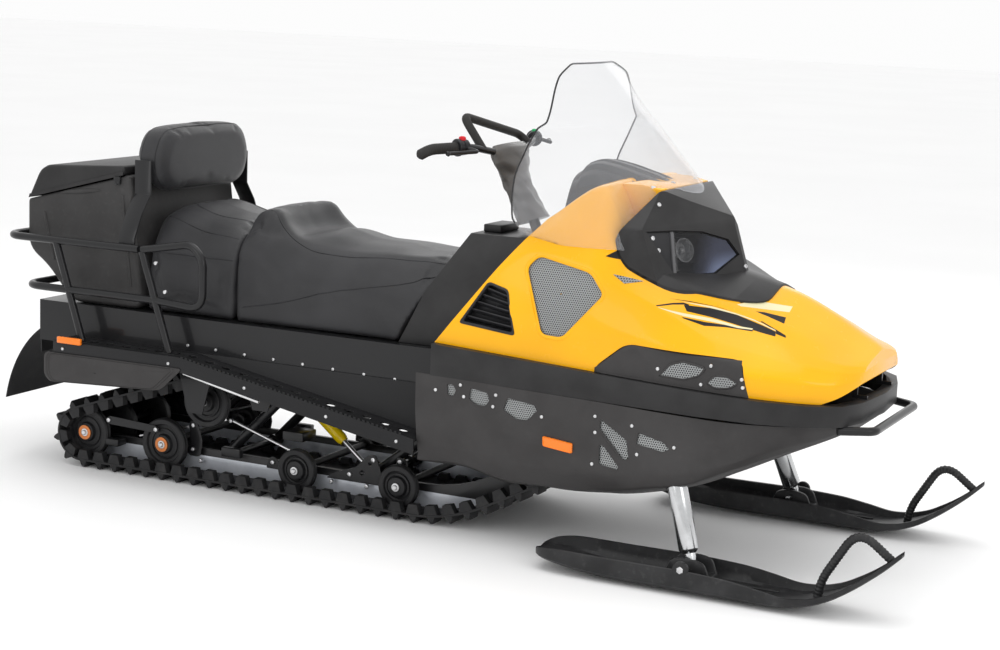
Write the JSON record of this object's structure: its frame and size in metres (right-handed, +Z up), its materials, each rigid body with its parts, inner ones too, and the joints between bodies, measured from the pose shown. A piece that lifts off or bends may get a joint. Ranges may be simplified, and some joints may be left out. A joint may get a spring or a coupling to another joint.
{
  "type": "snowmobile",
  "caption": "Utility snowmobile with a wide track on slide rails, long two-person seat, backrest, rear cargo box and rack, tall windshield and steerable skis.",
  "frame": {"origin": "bottom centre of the whole bounding box, on the ground", "axes": "+X forward along the length, +Y to the rider's left, +Z up"},
  "size_m": [3.18, 1.129, 1.449],
  "materials": {
    "arm_metal": "satin black paint",
    "belly_plastic": "fine grained plastic",
    "board_black": "textured powder coat",
    "body_yellow": "gloss coloured plastic",
    "box_plastic": "fine grained plastic",
    "console_plastic": "fine grained plastic",
    "cover_vinyl": "thin grey vinyl",
    "damper_yellow": "gloss paint",
    "engine_metal": "cast",
    "flap_rubber": "matte moulded rubber",
    "grip_rubber": "ribbed rubber",
    "lamp_amber": "clear ribbed plastic",
    "lamp_red": "clear ribbed plastic",
    "leg_chrome": "polished",
    "lens_clear": "clear moulded lens",
    "mesh_metal": "punched grey mesh",
    "rail_metal": "satin extruded",
    "runner_steel": "worn steel",
    "seat_vinyl": "grained vinyl",
    "shield_clear": "clear sheet",
    "ski_plastic": "smooth plastic",
    "sleeve_black": "smooth plastic",
    "steel_black": "satin powder coat",
    "track_rubber": "matte moulded rubber",
    "tunnel_black": "satin powder coat",
    "valance_grey": "textured plastic",
    "wheel_rubber": "matte rubber on dark discs"
  },
  "bodies": {
    "chassis": {"arch_panels": "belly_plastic", "backrest_brackets": "steel_black", "backrest_pad": "seat_vinyl", "belly_left": "belly_plastic", "belly_pan": "belly_plastic", "belly_right": "belly_plastic", "bumper_rim": "belly_plastic", "cargo_box": "box_plastic", "console": "console_plastic", "dash_cluster": "console_plastic", "drive_axle": "wheel_rubber", "engine_block": "engine_metal", "front_bumper_tube": "steel_black", "grab_loops": "steel_black", "hood_hinge": "steel_black", "mud_flap": "flap_rubber", "rack_frame": "steel_black", "rack_top_rail": "steel_black", "rail_wheels": "wheel_rubber", "rear_axle_wheels": "wheel_rubber", "running_board_left": "board_black", "running_board_right": "board_black", "seat_driver": "seat_vinyl", "seat_passenger": "seat_vinyl", "side_markers": "lamp_amber", "side_valances": "valance_grey", "slide_rails": "rail_metal", "strut_sleeves": "sleeve_black", "suspension_arms": "arm_metal", "suspension_damper": "damper_yellow", "tail_lamp": "lamp_red", "tow_hitch": "steel_black", "track": "track_rubber", "tunnel": "tunnel_black", "upper_idler_wheels": "wheel_rubber"},
    "handlebar": {"steering_column": "steel_black", "handlebar_tube": "steel_black", "hand_grips": "grip_rubber", "switch_blocks": "console_plastic", "grab_loop": "grip_rubber", "steering_cover": "cover_vinyl"},
    "ski_right": {"ski_leg_right": "leg_chrome", "ski_right": "ski_plastic", "ski_runner_right": "runner_steel", "ski_handle_right": "ski_plastic"},
    "ski_left": {"ski_leg_left": "leg_chrome", "ski_left": "ski_plastic", "ski_runner_left": "runner_steel", "ski_handle_left": "ski_plastic"},
    "hood": {"hood_shell": "body_yellow", "hood_side_meshes": "mesh_metal", "headlight_housing": "console_plastic", "headlight_lens": "lens_clear", "dash_cowl": "console_plastic", "windshield": "shield_clear"},
    "box_lid": {"cargo_lid": "box_plastic"}
  },
  "joints": [
    {"name": "steering", "type": "hinge", "parent": "chassis", "child": "handlebar", "pos_m": [0.238, 0, 0.93], "axis": [-0.3907, 0, 0.9205], "range_deg": [-32, 32]},
    {"name": "ski_right_steer", "type": "hinge", "parent": "chassis", "child": "ski_right", "pos_m": [0.985, -0.4695, 0.077], "axis": [-0.3199, 0.1857, 0.9291], "range_deg": [-32, 32]},
    {"name": "ski_left_steer", "type": "hinge", "parent": "chassis", "child": "ski_left", "pos_m": [0.985, 0.4695, 0.077], "axis": [-0.3199, -0.1857, 0.9291], "range_deg": [-32, 32]},
    {"name": "hood_tilt", "type": "hinge", "parent": "chassis", "child": "hood", "pos_m": [1.33, 0, 0.592], "axis": [0, 1, 0], "range_deg": [0, 60]},
    {"name": "lid_hinge", "type": "hinge", "parent": "chassis", "child": "box_lid", "pos_m": [-1.106, 0, 1.016], "axis": [0, 1, 0], "range_deg": [0, 60]}
  ],
  "couplings": [
    {"joint": "ski_right_steer", "follows": "steering", "ratio": 1},
    {"joint": "ski_left_steer", "follows": "steering", "ratio": 1}
  ]
}
